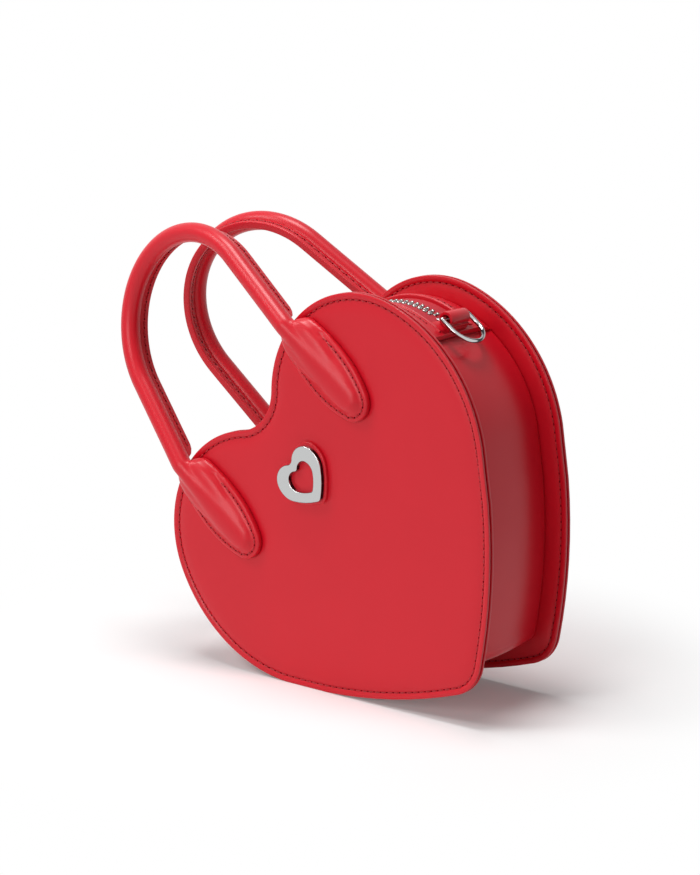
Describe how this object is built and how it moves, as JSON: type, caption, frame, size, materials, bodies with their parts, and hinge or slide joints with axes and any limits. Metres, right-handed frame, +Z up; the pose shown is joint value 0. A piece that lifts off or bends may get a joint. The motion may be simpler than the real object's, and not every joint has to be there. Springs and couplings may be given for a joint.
{
  "type": "handbag",
  "caption": "Closed heart shaped leather handbag lying on one flank, with rolled handles on padded tabs, a curved zip with slider and puller, and D rings for a strap.",
  "frame": {"origin": "middle of the bounding box's base, on the floor under the bag", "axes": "+Z up as it lies on its flank; Y runs through its depth, with the front panel facing -Y; +X runs along the floor towards the heart's tip"},
  "size_m": [0.2103, 0.0784, 0.1977],
  "materials": {
    "leather": "smooth semi-gloss",
    "board": "matte fibreboard",
    "zip_tape": "woven",
    "chrome": "polished",
    "handle_core": "soft cord",
    "lining": "woven"
  },
  "bodies": {
    "bag": {"front_panel_leather": "leather", "front_panel_facing": "leather", "back_panel_leather": "leather", "back_panel_facing": "leather", "gusset_band": "leather", "gusset_strip_front": "leather", "gusset_strip_back": "leather", "left_zip_end": "leather", "right_zip_end": "leather", "left_ring_tab": "leather", "right_ring_tab": "leather", "front_left_tab": "leather", "front_right_tab": "leather", "back_left_tab": "leather", "back_right_tab": "leather", "ornament_base": "leather", "front_panel_board": "board", "back_panel_board": "board", "front_tab_fillers": "board", "back_tab_fillers": "board", "zip_tape": "zip_tape", "zip_teeth": "chrome", "zip_stops": "chrome", "ornament": "chrome", "ornament_washers": "chrome", "lining_front": "lining", "lining_back": "lining", "lining_gusset": "lining", "lining_strips": "lining", "lining_ends": "lining"},
    "front_handle": {"front_handle_leather": "leather", "front_handle_core": "handle_core"},
    "back_handle": {"back_handle_leather": "leather", "back_handle_core": "handle_core"},
    "zip_slider": {"zip_slider": "chrome"},
    "zip_puller": {"zip_puller": "chrome"},
    "left_d_ring": {"left_d_ring": "chrome"},
    "right_d_ring": {"right_d_ring": "chrome"}
  },
  "joints": [
    {"name": "front_handle_lean", "type": "hinge", "parent": "bag", "child": "front_handle", "pos_m": [-0.02897, -0.0349, 0.12556], "axis": [0.6528, 0, 0.7576], "range_deg": [-7, 45], "stiffness_Nm_per_rad": 0.1},
    {"name": "back_handle_lean", "type": "hinge", "parent": "bag", "child": "back_handle", "pos_m": [-0.02897, 0.0349, 0.12556], "axis": [-0.6528, 0, -0.7576], "range_deg": [-7, 45], "stiffness_Nm_per_rad": 0.1},
    {"name": "zip_travel", "type": "hinge", "parent": "bag", "child": "zip_slider", "pos_m": [-0.0212, 0, 0.06166], "axis": [0, 1, 0], "range_deg": [0, 88]},
    {"name": "puller_swing", "type": "hinge", "parent": "zip_slider", "child": "zip_puller", "pos_m": [-0.064, 0, 0.04713], "axis": [0, 1, 0], "range_deg": [-8, 95]},
    {"name": "left_ring_swing", "type": "hinge", "parent": "bag", "child": "left_d_ring", "pos_m": [-0.05475, 0, 0.02829], "axis": [0, 1, 0], "range_deg": [-30, 60]},
    {"name": "right_ring_swing", "type": "hinge", "parent": "bag", "child": "right_d_ring", "pos_m": [0.06499, 0, 0.16726], "axis": [0, -1, 0], "range_deg": [0, 140]}
  ]
}
